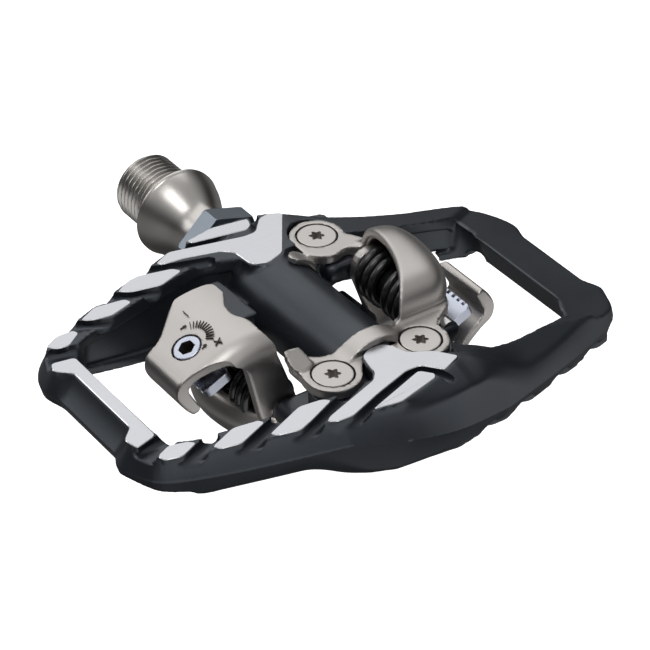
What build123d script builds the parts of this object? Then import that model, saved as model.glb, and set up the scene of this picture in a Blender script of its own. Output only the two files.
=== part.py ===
from build123d import *
import math
import os

# Clipless pedal for the right-hand crank arm, two-sided, with a wide metal cage.
# Millimetres. +X runs outboard along the spindle, +Y forward, +Z up.
# The origin lies on the spindle axis, on the shoulder that seats on the crank arm.
# The pedal body and its mechanisms look the same after half a turn about X.

# ---- spindle and its bearings
CRANK_THREAD_R = 7.144
CRANK_THREAD_LENGTH = 12.4
FLANGE_R = 9.5
FLANGE_THICKNESS = 0.95
NECK_R = 5.9
NECK_START = 9.5
NECK_END = 16.4
JOURNAL_START = 17.6
JOURNAL_R = 5.0
RACE_LAND_R = 4.1
SHAFT_R = 3.6
END_THREAD_R = 3.2
SPINDLE_END = 74.0
HEX_SOCKET_AF = 8.0
HEX_SOCKET_DEPTH = 9.0
SLEEVE_START = 14.0
HEX_LENGTH = 4.4
HEX_AF = 15.5
HEX_TURN = 43.4
SLEEVE_R = 6.6
SLEEVE_END = 36.0
SLEEVE_BORE_R = 5.75
BUSH_CLEARANCE = 0.05
SEAL_SEAT = 2.8
SEAL_LENGTH = 2.0
BALL_R = 1.19
BALL_COUNT = 12
INNER_BALL_X = 39.0
OUTER_BALL_X = 62.5
BALL_CIRCLE_R = 4.7
CUP_LENGTH = 5.0
CUP_BORE_R = 5.3
RACE_CLEARANCE = 0.03
CONE_R = 4.1
LOCK_NUT_AF = 8.0
LOCK_NUT_LENGTH = 3.0
CONE_START = OUTER_BALL_X - 2.5
CONE_LENGTH = 5.5
WASHER_START = CONE_START + CONE_LENGTH
WASHER_LENGTH = 0.8
LOCK_NUT_START = WASHER_START + WASHER_LENGTH

# ---- pedal body
HALF_THICKNESS = 8.3
BARREL_R = 8.2
BARREL_BORE_R = 6.6
BARREL_BORE_END = 65.5
BARREL_START = 24.0
END_BORE_R = 4.9
END_BORE_END = 76.0
MIDDLE_X = 52.0
TILT_START_Y = 8.0
TILT_DROP = 8.7
TILT_RUN = 45.0
TILT_REACH = 1.2
TILT_END_Y = TILT_START_Y + TILT_RUN * TILT_REACH
STOP_BLOCK = (36.0, 48.2, 15.2)
STOP_BLOCK_THICKNESS = 2.5
STOP_BLOCK_FRONT_Y = 5.0

# ---- fixed front claw plates
PLATE_TOP = 7.2
PLATE_THICKNESS = 2.0
LOBE_R = 5.5
SCREW_SPOTS = ((32.3, 12.1), (71.5, 8.2), (70.9, -11.2))
BRIDGE_R = 9.7
BRIDGE_X = (65.6, 69.4)
HOOD_X = (39.0, 65.0)
HOOD_WALL = 1.8
COUNTERSINK_LAND = 0.3
SCREW_HEAD_R = 3.85
SCREW_R = 1.75
SCREW_TIP_Z = 0.6
SCREW_SOCKET_R = 1.5
SCREW_SOCKET_DEPTH = 1.6

# ---- sprung rear claws
PIN_Y = -17.0
PIN_Z = -4.3
PIN_R = 1.75
PIN_X = (35.0, 69.0)
CHEEK_X = (41.6, 62.4)
CHEEK_WALL = 2.0
CLAW_WALL = 2.2
CHEEK_BOSS_R = 4.4
PIN_CLEARANCE = 0.05
FACE_TOP = (-25.5, 12.6)
FACE_TILT = 25.0
BOLT_ALONG_FACE = 5.8
BOLT_HEAD_R = 2.75
BOLT_HEAD_LENGTH = 3.2
BOLT_R = 1.5
BOLT_LENGTH = 9.0
BOLT_SOCKET_AF = 3.0
BOLT_SOCKET_DEPTH = 2.2
BOLT_RECESS = 0.3
RUNNING_GAP = 0.08
TENSION_PLATE = (13.0, 6.0, 2.2)
TENSION_PLATE_DEPTH = 5.6
TENSION_PLATE_CORNER = 1.2
COIL_R = 4.6
WIRE_R = 0.9
COIL_PITCH = 2.0
COIL_TURNS = 3.1
SPOOL_R = 3.3


def plane_x(x):
    """A sketch plane across the spindle, drawn as (y, z)."""
    return Plane(origin=(x, 0, 0), x_dir=(0, 1, 0), z_dir=(1, 0, 0))


def closed(inboard, outboard):
    """An outline from its inboard and outboard edges in front of the spindle, mirrored behind it."""
    front = inboard[::-1] + outboard
    return front + [(x, -y) for x, y in reversed(front)]


def export(piece, name):
    piece.label = name
    export_step(piece, f"parts/{name}.step")


def export_pair(piece, name):
    """The piece above the spindle and its image after half a turn about the spindle."""
    export(piece, f"top_{name}")
    export(piece.rotate(Axis.X, 180), f"bottom_{name}")


os.makedirs("parts", exist_ok=True)

# ==== spindle: crank thread, flange, flared neck, journals, end thread
with BuildPart() as spindle:
    with BuildSketch(Plane.XZ):
        with BuildLine():
            Polyline(
                (-CRANK_THREAD_LENGTH, 0), (-CRANK_THREAD_LENGTH, CRANK_THREAD_R - 1),
                (1 - CRANK_THREAD_LENGTH, CRANK_THREAD_R), (0, CRANK_THREAD_R), (0, FLANGE_R),
                (FLANGE_THICKNESS, FLANGE_R), (1.8, FLANGE_R - 0.35),
            )
            Spline((1.8, FLANGE_R - 0.35), (5.2, 7.6), (NECK_START, NECK_R),
                   tangents=((1, -0.1), (1, -0.05)))
            Polyline(
                (NECK_START, NECK_R), (NECK_END, NECK_R), (JOURNAL_START, JOURNAL_R),
                (SLEEVE_END, JOURNAL_R), (SLEEVE_END, RACE_LAND_R),
                (INNER_BALL_X + 3, RACE_LAND_R), (INNER_BALL_X + 3.5, SHAFT_R),
                (CONE_START, SHAFT_R), (CONE_START, END_THREAD_R),
                (SPINDLE_END - 0.6, END_THREAD_R), (SPINDLE_END, END_THREAD_R - 0.6), (SPINDLE_END, 0),
                (-CRANK_THREAD_LENGTH, 0),
            )
        make_face()
    revolve(axis=Axis.X)
    with BuildSketch(plane_x(-CRANK_THREAD_LENGTH)):
        RegularPolygon(HEX_SOCKET_AF / 2, 6, major_radius=False)
    extrude(amount=HEX_SOCKET_DEPTH, mode=Mode.SUBTRACT)
    with BuildSketch(Plane.XZ):
        with Locations((INNER_BALL_X, BALL_CIRCLE_R)):
            Circle(BALL_R + RACE_CLEARANCE)
    revolve(axis=Axis.X, mode=Mode.SUBTRACT)
export(spindle.part, "spindle")

# ==== lock sleeve: screws into the body and carries the bush and the seal
with BuildPart() as lock_sleeve:
    with BuildSketch(plane_x(SLEEVE_START)):
        RegularPolygon(HEX_AF / 2, 6, major_radius=False, rotation=HEX_TURN)
    extrude(amount=HEX_LENGTH)
    with BuildSketch(plane_x(SLEEVE_START)):
        Circle(SLEEVE_R)
    extrude(amount=SLEEVE_END - SLEEVE_START)
    with BuildSketch(plane_x(SLEEVE_START)):
        Circle(SLEEVE_BORE_R)
    extrude(amount=SLEEVE_END - SLEEVE_START, mode=Mode.SUBTRACT)
    with BuildSketch(plane_x(SLEEVE_START)):
        Circle(SLEEVE_R)
    extrude(amount=SEAL_SEAT, mode=Mode.SUBTRACT)
export(lock_sleeve.part, "lock_sleeve")

with BuildPart() as dust_seal:
    with BuildSketch(plane_x(SLEEVE_START + 0.6)):
        Circle(SLEEVE_R)
        Circle(NECK_R + BUSH_CLEARANCE, mode=Mode.SUBTRACT)
    extrude(amount=SEAL_LENGTH)
export(dust_seal.part, "dust_seal")

with BuildPart() as sleeve_bush:
    with BuildSketch(plane_x(JOURNAL_START + 0.5)):
        Circle(SLEEVE_BORE_R)
        Circle(JOURNAL_R + BUSH_CLEARANCE, mode=Mode.SUBTRACT)
    extrude(amount=SLEEVE_END - JOURNAL_START - 1)
export(sleeve_bush.part, "sleeve_bush")

# ==== two rows of loose balls in pressed cups, set by a cone and its lock nut
for row, ball_x in (("inner", INNER_BALL_X), ("outer", OUTER_BALL_X)):
    with BuildPart() as cup:
        with BuildSketch(plane_x(ball_x - CUP_LENGTH / 2)):
            Circle(BARREL_BORE_R)
            Circle(CUP_BORE_R, mode=Mode.SUBTRACT)
        extrude(amount=CUP_LENGTH)
        with BuildSketch(Plane.XZ):
            with Locations((ball_x, BALL_CIRCLE_R)):
                Circle(BALL_R)
        revolve(axis=Axis.X, mode=Mode.SUBTRACT)
    export(cup.part, f"{row}_bearing_cup")

    with BuildPart() as balls:
        with Locations(plane_x(ball_x)):
            with PolarLocations(BALL_CIRCLE_R, BALL_COUNT):
                Sphere(BALL_R - RACE_CLEARANCE / 3)
    export(balls.part, f"{row}_bearing_balls")

with BuildPart() as spacer_tube:
    with BuildSketch(plane_x(INNER_BALL_X + CUP_LENGTH / 2)):
        Circle(BARREL_BORE_R)
        Circle(CUP_BORE_R, mode=Mode.SUBTRACT)
    extrude(amount=OUTER_BALL_X - INNER_BALL_X - CUP_LENGTH)
export(spacer_tube.part, "spacer_tube")

with BuildPart() as bearing_cone:
    with BuildSketch(plane_x(CONE_START)):
        Circle(CONE_R)
        Circle(END_THREAD_R, mode=Mode.SUBTRACT)
    extrude(amount=CONE_LENGTH)
    with BuildSketch(Plane.XZ):
        with Locations((OUTER_BALL_X, BALL_CIRCLE_R)):
            Circle(BALL_R + RACE_CLEARANCE)
    revolve(axis=Axis.X, mode=Mode.SUBTRACT)
export(bearing_cone.part, "bearing_cone")

with BuildPart() as cone_washer:
    with BuildSketch(plane_x(WASHER_START)):
        Circle(CONE_R)
        Circle(END_THREAD_R, mode=Mode.SUBTRACT)
    extrude(amount=WASHER_LENGTH)
export(cone_washer.part, "cone_washer")

with BuildPart() as cone_lock_nut:
    with BuildSketch(plane_x(LOCK_NUT_START)):
        RegularPolygon(LOCK_NUT_AF / 2, 6, major_radius=False)
        Circle(END_THREAD_R, mode=Mode.SUBTRACT)
    extrude(amount=LOCK_NUT_LENGTH)
export(cone_lock_nut.part, "cone_lock_nut")

# ==== pedal body: cage, barrel, seats for both mechanisms
# The cage swells from its top outline to a belt half-way down.
TOP_OUTLINE = closed(
    [(44.5, 50.6), (42.3, 53.2), (35.4, 50.4), (33.3, 47.5), (29.9, 38.0), (26.4, 28.0), (23.0, 18.0),
     (20.4, 8.0)],
    [(65.4, 50.6), (67.8, 53.2), (74.4, 50.8), (76.4, 47.5), (79.0, 38.5), (81.7, 28.0), (84.2, 17.0),
     (85.4, 6.0)],
)
BELT_OUTLINE = closed(
    [(44.5, 52.9), (41.8, 54.3), (34.0, 51.6), (31.8, 47.8), (28.8, 38.0), (25.4, 28.0), (22.0, 18.0),
     (19.4, 8.0)],
    [(65.2, 52.9), (68.2, 54.3), (75.2, 51.8), (78.2, 47.5), (81.8, 38.5), (84.9, 28.0), (87.2, 18.0),
     (89.3, 6.0)],
)
WINDOW = [
    (43.0, -46.0), (38.5, -45.2), (36.6, -43.0), (32.6, -33.0), (29.6, -23.0), (27.8, -12.5),
    (30.0, -9.0), (36.5, -7.0), (66.5, -7.0), (69.0, -16.5), (71.5, -20.0), (75.6, -24.0),
    (75.4, -33.0), (74.2, -43.0), (72.6, -45.2), (69.5, -46.0),
]
LUG_X = ((27.0, 41.2), (62.8, 72.0))
LUG_Y = (-21.5, -9.0)
LUG_TOP = -0.8
PLATE_SEAT = PLATE_TOP - PLATE_THICKNESS
POCKET_GAP = 0.25
SCREW_POST_R = LOBE_R - 0.3
SCREW_POST_DEPTH = 2.0
CUT_DEPTH = 6.0
CAGE_SPAN = 100.0
PLATE_OUTLINES = (
    [(27.6, 8.0), (34.4, 6.4), (38.6, 8.6), (39.0, 11.4), (38.4, 15.4), (40.8, 17.4), (40.8, 20.6),
     (35.0, 17.6), (29.0, 17.0)],
    [(63.2, 7.9), (65.6, 7.4), (66.4, 3.4), (69.4, 3.4), (71.5, 4.0), (76.0, 8.2), (74.0, 13.0),
     (69.0, 13.4), (65.0, 19.4), (63.2, 19.4)],
    [(66.0, -3.4), (69.4, -3.4), (72.4, -5.8), (72.0, -16.0), (66.5, -16.2), (63.0, -16.4),
     (63.0, -12.8), (65.6, -10.0)],
)

with BuildPart() as cage_half:
    with BuildSketch(Plane.XY):
        Polygon(*BELT_OUTLINE, align=None)
    with BuildSketch(Plane.XY.offset(HALF_THICKNESS)):
        Polygon(*TOP_OUTLINE, align=None)
    loft(ruled=True)
    # the front half of the upper face falls away to the middle of the end bar
    with BuildSketch(Plane.YZ):
        Polygon((TILT_START_Y, HALF_THICKNESS), (TILT_END_Y, HALF_THICKNESS),
                (TILT_END_Y, HALF_THICKNESS - TILT_DROP * TILT_REACH), align=None)
    extrude(amount=CAGE_SPAN, mode=Mode.SUBTRACT)

with BuildPart() as pedal_body:
    add(cage_half.part)
    add(cage_half.part.rotate(Axis.X, 180))
    # windows behind and in front of the barrel, one for each sprung claw
    for side in (1, -1):
        with BuildSketch(Plane.XY):
            Polygon(*[(x, side * y) for x, y in WINDOW], align=None)
        extrude(amount=HALF_THICKNESS + 1, both=True, mode=Mode.SUBTRACT)
    for side in (1, -1):
        # lugs that hold the pivot pin against the claw plate of the other side
        for lug_x in LUG_X:
            with BuildSketch(plane_x(lug_x[0])):
                Polygon((side * LUG_Y[0], side * LUG_TOP), (side * LUG_Y[1], side * LUG_TOP),
                        (side * LUG_Y[1], -side * PLATE_SEAT), (side * LUG_Y[0], -side * PLATE_SEAT),
                        align=None)
            extrude(amount=lug_x[1] - lug_x[0])
        for x, y in SCREW_SPOTS:
            with BuildSketch(Plane.XY.offset(-side * SCREW_POST_DEPTH)):
                with Locations((x, side * y)):
                    Circle(SCREW_POST_R)
            extrude(amount=side * (PLATE_SEAT + SCREW_POST_DEPTH))
    for side in (1, -1):
        # pocket that the claw plate drops into
        with BuildSketch(Plane.XY.offset(side * PLATE_SEAT)):
            for outline in PLATE_OUTLINES:
                Polygon(*[(x, side * y) for x, y in outline], align=None)
            for x, y in SCREW_SPOTS:
                with Locations((x, side * y)):
                    Circle(LOBE_R)
            Polygon((BRIDGE_X[0], -BARREL_R), (BRIDGE_X[1], -BARREL_R), (BRIDGE_X[1], BARREL_R),
                    (BRIDGE_X[0], BARREL_R), align=None)
            offset(amount=POCKET_GAP)
        extrude(amount=side * CUT_DEPTH, mode=Mode.SUBTRACT)
    with BuildSketch(plane_x(BARREL_START)):
        Circle(BARREL_R)
    extrude(amount=BRIDGE_X[1] - BARREL_START)
    for side in (1, -1):
        # the block that the sprung claw rests against
        stop_bottom = HALF_THICKNESS - STOP_BLOCK_THICKNESS
        with BuildSketch(plane_x(STOP_BLOCK[0])):
            Polygon((-side * STOP_BLOCK[2], side * HALF_THICKNESS),
                    (-side * STOP_BLOCK_FRONT_Y, side * HALF_THICKNESS),
                    (-side * STOP_BLOCK_FRONT_Y, side * stop_bottom),
                    (-side * STOP_BLOCK[2], side * stop_bottom), align=None)
        extrude(amount=STOP_BLOCK[1] - STOP_BLOCK[0])
        with BuildSketch(Plane.XY.offset(side * SCREW_TIP_Z)):
            for x, y in SCREW_SPOTS:
                with Locations((x, side * y)):
                    Circle(SCREW_R)
        extrude(amount=side * CUT_DEPTH, mode=Mode.SUBTRACT)
        with BuildSketch(plane_x(PIN_X[0])):
            with Locations((side * PIN_Y, side * PIN_Z)):
                Circle(PIN_R)
        extrude(amount=PIN_X[1] - PIN_X[0], mode=Mode.SUBTRACT)
    with BuildSketch(plane_x(0)):
        Circle(BARREL_BORE_R)
    extrude(amount=BARREL_BORE_END, mode=Mode.SUBTRACT)
    with BuildSketch(plane_x(0)):
        Circle(END_BORE_R)
    extrude(amount=END_BORE_END, mode=Mode.SUBTRACT)
export(pedal_body.part, "pedal_body")

# ==== pivot pins, trapped between the body's lugs and the claw plate
with BuildPart() as pivot_pin:
    with BuildSketch(plane_x(PIN_X[0])):
        with Locations((PIN_Y, PIN_Z)):
            Circle(PIN_R)
    extrude(amount=PIN_X[1] - PIN_X[0])
export_pair(pivot_pin.part, "pivot_pin")

# ==== fixed front claw plate: three screw lobes, a bridge over the barrel, a domed hood
# The hood covers the pin and springs of the sprung claw on the other side.
HOOD_PROFILE = [(15.0, PLATE_SEAT), (15.0, 13.0), (20.5, 12.9), (24.5, 11.2), (27.2, 8.0), (28.2, 4.0),
                (28.0, 1.5), (27.0, 1.5), (26.2, PLATE_SEAT)]
HOOD_FLANK = [(7.9, PLATE_SEAT), (9.6, 9.6), (13.0, 12.4), (16.0, 12.9), (20.0, 12.0),
              (20.0, PLATE_SEAT)]
HOOD_CORNER = [(-1.0, 19.5), (7.5, 28.6), (7.5, 30.0), (-1.0, 30.0)]
HOOD_CORNER_HEIGHT = 15.0
HOOD_HOLLOW = [(2.0, 11.2), (19.8, 11.2), (23.2, 9.8), (25.3, 7.2), (26.3, 3.8), (26.2, 0.0), (2.0, 0.0)]

with BuildPart() as claw_plate:
    for outline in PLATE_OUTLINES:
        with BuildSketch(Plane.XY.offset(PLATE_SEAT)):
            Polygon(*outline, align=None)
        extrude(amount=PLATE_THICKNESS)
    with BuildSketch(Plane.XY.offset(PLATE_SEAT)):
        with Locations(*SCREW_SPOTS):
            Circle(LOBE_R)
    extrude(amount=PLATE_THICKNESS)
    with BuildSketch(plane_x(BRIDGE_X[0] - CUT_DEPTH)):
        Circle(BARREL_R)
    extrude(amount=CUT_DEPTH + BRIDGE_X[1] - BRIDGE_X[0], mode=Mode.SUBTRACT)
    # bridge between the outboard lobes
    with BuildSketch(plane_x(BRIDGE_X[0])):
        Circle(BRIDGE_R)
        Circle(BARREL_R, mode=Mode.SUBTRACT)
        with Locations((0, PLATE_SEAT)):
            Rectangle(3 * BRIDGE_R, 3 * BRIDGE_R, align=(Align.CENTER, Align.MAX), mode=Mode.SUBTRACT)
    extrude(amount=BRIDGE_X[1] - BRIDGE_X[0])
    # hood, narrower towards the front, open to the rear
    with BuildSketch(plane_x(HOOD_X[0])):
        Polygon(*HOOD_PROFILE, align=None)
    extrude(amount=HOOD_X[1] - HOOD_X[0])
    with BuildSketch(plane_x(HOOD_X[0] + HOOD_WALL)):
        Polygon(*HOOD_HOLLOW, align=None)
    extrude(amount=HOOD_X[1] - HOOD_X[0] - 2 * HOOD_WALL, mode=Mode.SUBTRACT)
    # outboard flank, carried back along the plate
    with BuildSketch(plane_x(HOOD_X[1] - HOOD_WALL)):
        Polygon(*HOOD_FLANK, align=None)
    extrude(amount=HOOD_WALL)
    # the front corners of the hood, cut back in plan
    for edge_x, inward in ((HOOD_X[0], 1), (HOOD_X[1], -1)):
        with BuildSketch(Plane.XY):
            Polygon(*[(edge_x + inward * x, y) for x, y in HOOD_CORNER], align=None)
        extrude(amount=HOOD_CORNER_HEIGHT, mode=Mode.SUBTRACT)
    with BuildSketch(plane_x(PIN_X[0])):
        with Locations((-PIN_Y, -PIN_Z)):
            Circle(PIN_R)
    extrude(amount=PIN_X[1] - PIN_X[0], mode=Mode.SUBTRACT)
    # countersunk holes
    with BuildSketch(Plane.XY.offset(PLATE_SEAT)):
        with Locations(*SCREW_SPOTS):
            Circle(SCREW_R)
    extrude(amount=PLATE_THICKNESS, mode=Mode.SUBTRACT)
    for x, y in SCREW_SPOTS:
        with BuildSketch(Plane.XY.offset(PLATE_TOP)):
            with Locations((x, y)):
                Circle(SCREW_HEAD_R)
        with BuildSketch(Plane.XY.offset(PLATE_SEAT + COUNTERSINK_LAND)):
            with Locations((x, y)):
                Circle(SCREW_R)
        loft(mode=Mode.SUBTRACT)
export_pair(claw_plate.part, "claw_plate")

with BuildPart() as plate_screws:
    with BuildSketch(Plane.XY.offset(SCREW_TIP_Z)):
        with Locations(*SCREW_SPOTS):
            Circle(SCREW_R)
    extrude(amount=PLATE_TOP - SCREW_TIP_Z)
    for x, y in SCREW_SPOTS:
        with BuildSketch(Plane.XY.offset(PLATE_TOP)):
            with Locations((x, y)):
                Circle(SCREW_HEAD_R)
        with BuildSketch(Plane.XY.offset(PLATE_SEAT + COUNTERSINK_LAND)):
            with Locations((x, y)):
                Circle(SCREW_R)
        loft()
    with BuildSketch(Plane.XY.offset(PLATE_TOP)):
        with Locations(*SCREW_SPOTS):
            RegularPolygon(SCREW_SOCKET_R, 6)
    extrude(amount=-SCREW_SOCKET_DEPTH, mode=Mode.SUBTRACT)
export_pair(plate_screws.part, "plate_screws")

# ==== sprung rear claw: a bent plate with two cheeks on the pin and a tongue behind
tilt = math.radians(FACE_TILT)
FACE_DOWN = (-math.cos(tilt), -math.sin(tilt))
BOLT_YZ = (FACE_TOP[0] + FACE_DOWN[0] * BOLT_ALONG_FACE, FACE_TOP[1] + FACE_DOWN[1] * BOLT_ALONG_FACE)
BOLT_PLANE = Plane(origin=(MIDDLE_X, *BOLT_YZ), x_dir=(1, 0, 0),
                   z_dir=(0, -math.sin(tilt), math.cos(tilt)))
CLAW_OUTER = [(-17.4, 12.9), FACE_TOP, (-33.0, 9.1), (-35.3, 7.3), (-36.3, 4.6), (-35.8, 1.6)]
CLAW_INNER = [(-33.7, 1.6), (-34.1, 4.6), (-33.4, 6.2), (-32.0, 7.2), (-24.9, 10.4), (-17.4, 10.7)]
CHEEK_FRONT = [(-18.8, 12.0), (-17.0, 8.5), (-15.6, 4.8), (-14.2, 0.0), (-13.2, -2.0)]
CHEEK_REAR = [(-21.2, -3.0), (-23.2, 1.5), (-24.8, 6.0), (-26.0, 11.6)]
CLAW_REACH = 15.0
CLAW_PLAN = [(41.6, -17.0), (41.6, -18.8), (40.2, -26.6), (45.2, -33.0), (45.8, -37.0), (58.2, -37.0),
             (58.8, -33.0), (62.4, -26.6), (62.4, -17.0)]

with BuildPart() as binding:
    with BuildSketch(plane_x(MIDDLE_X)):
        Polygon(*CLAW_OUTER, *CLAW_INNER, align=None)
    extrude(amount=CLAW_REACH, both=True)
    with BuildSketch(Plane.XY):
        Polygon(*CLAW_PLAN, align=None)
    extrude(amount=CLAW_REACH, both=True, mode=Mode.INTERSECT)
    for x in (CHEEK_X[0], CHEEK_X[1] - CHEEK_WALL):
        with BuildSketch(plane_x(x)):
            Polygon(*CHEEK_FRONT, *CHEEK_REAR, align=None)
            with Locations((PIN_Y, PIN_Z)):
                Circle(CHEEK_BOSS_R)
            with Locations((PIN_Y, PIN_Z)):
                Circle(PIN_R + PIN_CLEARANCE, mode=Mode.SUBTRACT)
        extrude(amount=CHEEK_WALL)
    with BuildSketch(BOLT_PLANE):
        Circle(BOLT_HEAD_R + RUNNING_GAP)
    extrude(amount=2 * CLAW_WALL, both=True, mode=Mode.SUBTRACT)
export_pair(binding.part, "binding")

with BuildPart() as tension_bolt:
    with BuildSketch(BOLT_PLANE.offset(-BOLT_RECESS)):
        Circle(BOLT_HEAD_R)
    extrude(amount=-BOLT_HEAD_LENGTH)
    with BuildSketch(BOLT_PLANE.offset(-BOLT_HEAD_LENGTH)):
        Circle(BOLT_R)
    extrude(amount=-BOLT_LENGTH + BOLT_HEAD_LENGTH)
    with BuildSketch(BOLT_PLANE.offset(-BOLT_RECESS)):
        RegularPolygon(BOLT_SOCKET_AF / 2, 6, major_radius=False)
    extrude(amount=-BOLT_SOCKET_DEPTH, mode=Mode.SUBTRACT)
export_pair(tension_bolt.part, "tension_bolt")

with BuildPart() as tension_plate:
    with BuildSketch(BOLT_PLANE.offset(-TENSION_PLATE_DEPTH)):
        RectangleRounded(TENSION_PLATE[0], TENSION_PLATE[1], TENSION_PLATE_CORNER)
        Circle(BOLT_R + RUNNING_GAP, mode=Mode.SUBTRACT)
    extrude(amount=-TENSION_PLATE[2])
export_pair(tension_plate.part, "tension_plate")

# ==== two torsion springs on a spool round the pin
with BuildPart() as spring_spool:
    with BuildSketch(plane_x(CHEEK_X[0] + CHEEK_WALL + 0.3)):
        with Locations((PIN_Y, PIN_Z)):
            Circle(SPOOL_R)
            Circle(PIN_R, mode=Mode.SUBTRACT)
    extrude(amount=CHEEK_X[1] - CHEEK_X[0] - 2 * CHEEK_WALL - 0.6)
export_pair(spring_spool.part, "spring_spool")

COIL_STARTS = {
    "inboard_spring": CHEEK_X[0] + CHEEK_WALL + WIRE_R + 0.2,
    "outboard_spring": MIDDLE_X + WIRE_R + 0.1,
}
for name, coil_x in COIL_STARTS.items():
    with BuildPart() as spring:
        with BuildLine() as wire:
            Helix(COIL_PITCH, COIL_PITCH * COIL_TURNS, COIL_R, center=(coil_x, PIN_Y, PIN_Z),
                  direction=(1, 0, 0))
        with BuildSketch(Plane(origin=wire.line @ 0, z_dir=wire.line % 0)):
            Circle(WIRE_R)
        sweep(path=wire.line, is_frenet=True)
    export_pair(spring.part, name)
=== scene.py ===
import math

import bpy
import numpy as np
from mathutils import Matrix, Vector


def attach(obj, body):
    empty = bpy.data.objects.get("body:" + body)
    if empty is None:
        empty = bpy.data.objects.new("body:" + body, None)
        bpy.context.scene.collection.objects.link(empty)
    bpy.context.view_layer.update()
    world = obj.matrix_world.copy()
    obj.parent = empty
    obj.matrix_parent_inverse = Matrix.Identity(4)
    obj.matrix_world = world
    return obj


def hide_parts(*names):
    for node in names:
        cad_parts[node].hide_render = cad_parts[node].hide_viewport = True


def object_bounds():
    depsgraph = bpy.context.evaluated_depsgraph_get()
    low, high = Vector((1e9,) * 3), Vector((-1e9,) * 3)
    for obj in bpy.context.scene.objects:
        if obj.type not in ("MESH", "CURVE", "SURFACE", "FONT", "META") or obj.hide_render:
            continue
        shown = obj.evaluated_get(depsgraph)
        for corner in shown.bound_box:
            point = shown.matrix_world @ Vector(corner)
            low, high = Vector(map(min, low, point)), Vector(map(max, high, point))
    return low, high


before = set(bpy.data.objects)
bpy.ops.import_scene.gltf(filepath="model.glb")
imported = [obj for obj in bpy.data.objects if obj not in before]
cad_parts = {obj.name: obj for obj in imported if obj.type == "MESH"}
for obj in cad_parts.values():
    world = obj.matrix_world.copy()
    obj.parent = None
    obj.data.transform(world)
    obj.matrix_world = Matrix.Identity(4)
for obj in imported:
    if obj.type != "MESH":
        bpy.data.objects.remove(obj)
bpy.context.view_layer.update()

# Clipless pedal. Lengths below are millimetres; MM turns them into Blender's metres.
# +X outboard along the spindle, +Y forward, +Z up, origin on the crank shoulder.
# Both sides of the pedal are alike after half a turn about X.
MM = 0.001


# ---- shape tools: signed distances (negative inside), and a mesher for them
FAR = 1e9
TINY = 1e-12
CORNER_SHARE = 0.45
HOLD = 0.08
CELL_OVERSHOOT = 0.2


def rounded(points, radius, steps=6):
    """The outline with each corner replaced by a curve that starts at most radius from it."""
    corners = [np.array(p, float) for p in points]
    curve = []
    for i, corner in enumerate(corners):
        back = corners[i - 1] - corner
        ahead = corners[(i + 1) % len(corners)] - corner
        back_length = np.hypot(*back)
        ahead_length = np.hypot(*ahead)
        reach = min(radius, CORNER_SHARE * back_length, CORNER_SHARE * ahead_length)
        to_back, to_ahead = back / back_length * reach, ahead / ahead_length * reach
        for t in np.linspace(0, 1, steps):
            curve.append(corner + to_back * (1 - t) ** 2 + to_ahead * t ** 2)
    return curve


def outline_distance(u, v, points):
    """Signed distance in a plane to a closed outline."""
    shape = np.broadcast_shapes(np.shape(u), np.shape(v))
    nearest = np.full(shape, FAR)
    inside = np.zeros(shape, bool)
    for i in range(len(points)):
        (u0, v0), (u1, v1) = points[i - 1], points[i]
        eu, ev = u1 - u0, v1 - v0
        wu, wv = u - u0, v - v0
        t = np.clip((wu * eu + wv * ev) / (eu * eu + ev * ev + TINY), 0, 1)
        nearest = np.minimum(nearest, (wu - eu * t) ** 2 + (wv - ev * t) ** 2)
        crosses = (v >= v0) != (v >= v1)
        inside ^= crosses & ((eu * wv - ev * wu > 0) == (v1 > v0))
    return np.where(inside, -1, 1) * np.sqrt(nearest)


class Chart:
    """A function of two lengths, worked out once on a fine grid and then looked up."""

    def __init__(self, function, low, high, step=0.2):
        self.low = low
        self.step = step
        self.count = [int((high[i] - low[i]) / step) + 2 for i in (0, 1)]
        u = low[0] + step * np.arange(self.count[0])[:, None]
        v = low[1] + step * np.arange(self.count[1])[None, :]
        self.table = function(u, v)

    def __call__(self, u, v):
        a = np.clip((u - self.low[0]) / self.step, 0, self.count[0] - 1.001)
        b = np.clip((v - self.low[1]) / self.step, 0, self.count[1] - 1.001)
        i, j = a.astype(int), b.astype(int)
        a, b = a - i, b - j
        near = self.table[i, j] * (1 - b) + self.table[i, j + 1] * b
        far = self.table[i + 1, j] * (1 - b) + self.table[i + 1, j + 1] * b
        return near * (1 - a) + far * a


def chart(points, radius, steps=4, margin=9.0):
    """The signed distance to an outline with rounded corners, as a chart."""
    outline = rounded(points, radius, steps)
    low = np.min(outline, axis=0) - margin
    high = np.max(outline, axis=0) + margin
    return Chart(lambda u, v: outline_distance(u, v, outline), low, high)


def join(a, b, blend=0.0):
    """Union of two shapes, with a fillet of about the size of blend."""
    if blend == 0:
        return np.minimum(a, b)
    h = np.clip(0.5 + 0.5 * (b - a) / blend, 0, 1)
    return b + (a - b) * h - blend * h * (1 - h)


def common(a, b, blend=0.0):
    """What two shapes share, with its edge rounded by about the size of blend."""
    return -join(-a, -b, blend)


def cut(a, b, blend=0.0):
    """The first shape less the second one."""
    return common(a, -b, blend)


def between(value, low, high):
    """Distance to the layer where value lies between low and high."""
    return np.maximum(low - value, value - high)


def gradient(field, points, reach=0.01):
    """Unit normals of a field at points, from four samples around each."""
    total = np.zeros_like(points)
    for corner in ((1, -1, -1), (-1, -1, 1), (-1, 1, -1), (1, 1, 1)):
        moved = points + reach * np.array(corner, float)
        total += field(*moved.T)[:, None] * np.array(corner, float)
    return total / np.maximum(np.linalg.norm(total, axis=1, keepdims=True), TINY)


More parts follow.
